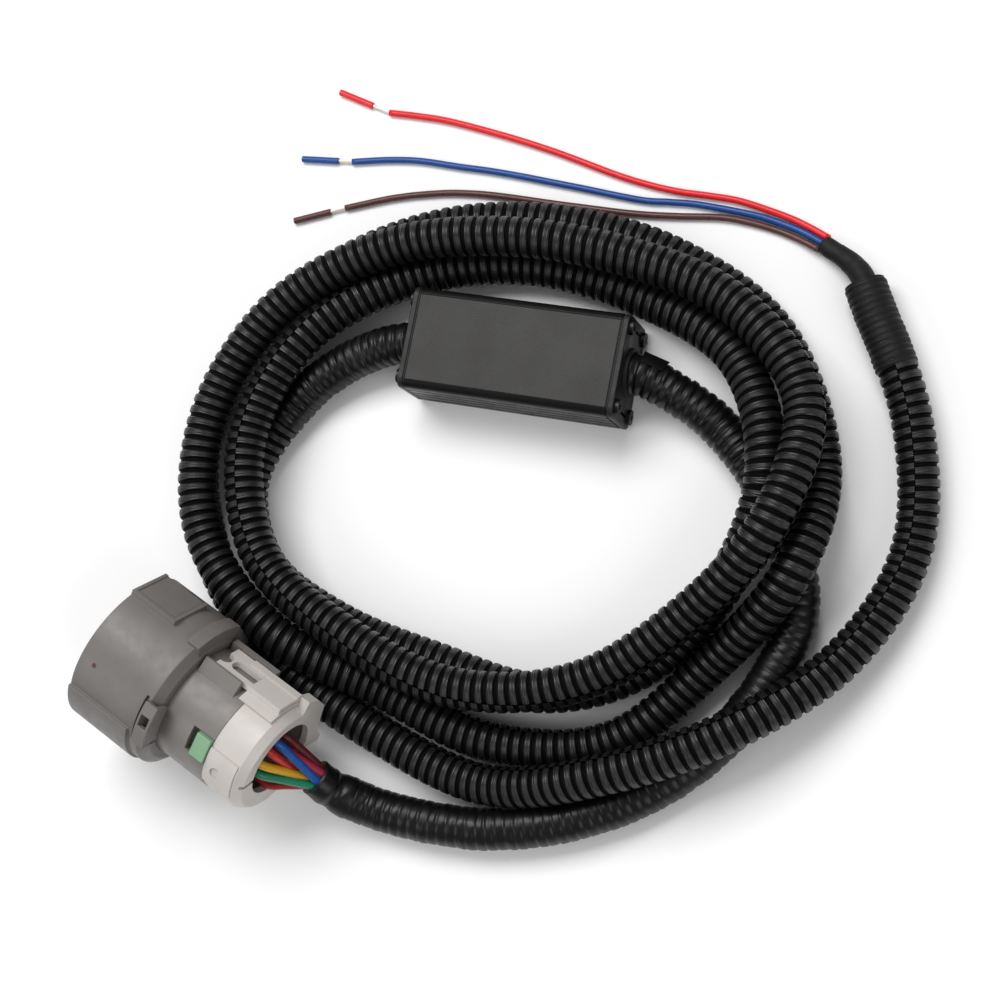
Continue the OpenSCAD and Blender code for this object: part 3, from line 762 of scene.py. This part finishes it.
# Each wire's pitch radius and angle in the rear seal, in the collar's opening and in the tape,
# then its slot and its colour
WIRE_RUNS = {
    "maroon_wire": ((6.4, 5), (11.6, 34), (4, -5), "wire_maroon", (0.095, 0.012, 0.014)),
    "crimson_wire": ((0, 0), (8.6, 50), (4, 40), "wire_crimson", (0.3, 0.022, 0.05)),
    "blue_wire": ((6.4, 55), (12.6, 57), (4.1, 84), "wire_blue", (0.012, 0.072, 0.3)),
    "red_wire": ((6.4, 100), (12.3, 76), (3.6, 215), "red_insulation", (0.48, 0.022, 0.018)),
    "yellow_wire": ((6.4, 150), (12.0, 101), (1.1, 145), "wire_yellow", (0.62, 0.33, 0.012)),
    "green_wire": ((6.4, 205), (10.8, 124), (4, 126), "wire_green", (0.008, 0.19, 0.1)),
    # lower_red_wire is the same red insulation as red_wire; its darker red is painted shade on the
    # lower wire
    "lower_red_wire": ((6.4, 260), (11.3, 205), (4, 176), "red_insulation",
                       (0.34, 0.02, 0.025)),
}


def bundle_wire(name, seal, opening, tape, color):
    """One wire from the rear seal, out through the opening, and down into the tape."""
    out = connector_point(OPENING_X, *opening)
    mouth = tape_point(0, *tape)
    bow = out - connector_point(OPENING_X, 0, 0)
    middle = 0.5 * (out + mouth) + 0.02 * bow
    points = [connector_point(SEAL_X, *seal), connector_point(SEAL_X + 5, *seal),
              connector_point(SEAL_X + 13, 0.3 * seal[0] + 0.6 * opening[0], opening[1]),
              out, middle, mouth, tape_point(3, *tape)]
    route = Route(np.array(points) / MM)
    return round_wire(name + "_run", route, 2 * WIRE_R, insulation(name + "_insulation", color),
                      step=0.8 * MM)


wires = {name: bundle_wire(name, *run[:3], run[4]) for name, run in WIRE_RUNS.items()}


def shroud_dot():
    """A small dark dot of paint near the shroud's mouth."""
    x, angle, radius = 6.5, 104, 0.9 * MM
    inside, outside = connector_point(x, 28.6, angle), connector_point(x, 29.04, angle)
    paint = moulded("dot_paint", (0.07, 0.018, 0.02))
    return straight_tube("shroud_dot", inside, outside, radius, paint, chamfer=0.05 * MM)


def tape_tail():
    """The loose end of the wrap beside the box, standing off the loom and curling."""
    start, width, thick, steps = 2.4 * MM, 6.6 * MM, 0.18 * MM, 10
    ring = []
    for i in range(steps):
        along = i / (steps - 1)
        angle = math.radians(-30 - 42 * along)
        lift = RIB_TOP + (0.1 + 1.1 * along**2) * MM
        for s, r in ((0, 0), (width, 0), (width, thick), (0, thick)):
            place = tube_points(right_route, np.array([start + s * (1 + 0.12 * along)]),
                                np.array([lift + r]), np.array([angle]))
            ring.append(place[0])
    faces = grid_faces(steps, 4, True)
    faces += [[3, 2, 1, 0], [4 * steps - 4 + k for k in range(4)]]
    return new_object("wrap_loose_tail", ring, faces, tape_material, smooth_angle=40)


dot = shroud_dot()
loose_tail = tape_tail()

# ---------------------------------------------------------------- pieces on the root, with the nodes they replace hidden

for piece, node, slot in ((left_loom, "left_loom", "loom_black"),
                          (left_tape, "left_loom_tape", "black_tape"),
                          (lead_neck, "lead_end_tape", "black_tape"),
                          (right_loom, "right_loom", "loom_taped"),
                          (connector_tape, "connector_end_tape", "black_tape")):
    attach(piece, ROOT)
    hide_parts(node)
for piece in (loose_tail, end_wrap):
    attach(piece, ROOT)
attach(dot, ROOT)
for name, piece in wires.items():
    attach(piece, ROOT)
    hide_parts(name)

for name, (route, cord, strands, tip) in leads.items():
    for piece, node in ((cord, name), (strands, name + "_strands"), (tip, name + "_tip")):
        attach(piece, ROOT)
        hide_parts(node)
    tuple(route.point(0))
    cord_path(route)

cord_path(left_route, left_end + LOOM_TIP)
cord_path(right_route, right_end)

# ---------------------------------------------------------------- floor and light


def make_stage():
    """A plain pale floor."""
    m = Shader("floor_paper", (0.93, 0.93, 0.93), 0.9, specular=0.1)
    m.vary_roughness(m.noise(40), 0.85, 0.95)
    floor = new_object("floor", [(-4, -4, 0), (4, -4, 0), (4, 4, 0), (-4, 4, 0)],
                       [(0, 1, 2, 3)], m.material)


def area_light(name, place, target, size, power, color=(1, 1, 1)):
    data = bpy.data.lights.new(name, "AREA")
    data.shape = "RECTANGLE"
    data.size, data.size_y = size
    data.energy = power
    data.color = color
    light = bpy.data.objects.new(name, data)
    light.location = place
    light.rotation_euler = (Vector(place) - Vector(target)).to_track_quat("Z", "Y").to_euler()
    bpy.context.scene.collection.objects.link(light)


def make_light():
    """A dim white room, a big softbox high behind on the left, and two weaker ones in front."""
    world = bpy.data.worlds.new("white_room")
    bpy.context.scene.world = world
    world.use_nodes = True
    background = world.node_tree.nodes["Background"]
    background.inputs["Color"].default_value = (1, 1, 1, 1)
    background.inputs["Strength"].default_value = 0.3
    centre = (0, -0.03, 0)
    area_light("key", (-0.35, 0.55, 1.25), centre, (1.1, 0.7), 17)
    area_light("fill", (1.0, -0.7, 1.0), centre, (0.9, 0.9), 6)
    area_light("side", (-1.0, -0.7, 0.9), centre, (0.8, 0.8), 4)
    bpy.context.scene.view_settings.view_transform = "Standard"


make_stage()
make_light()
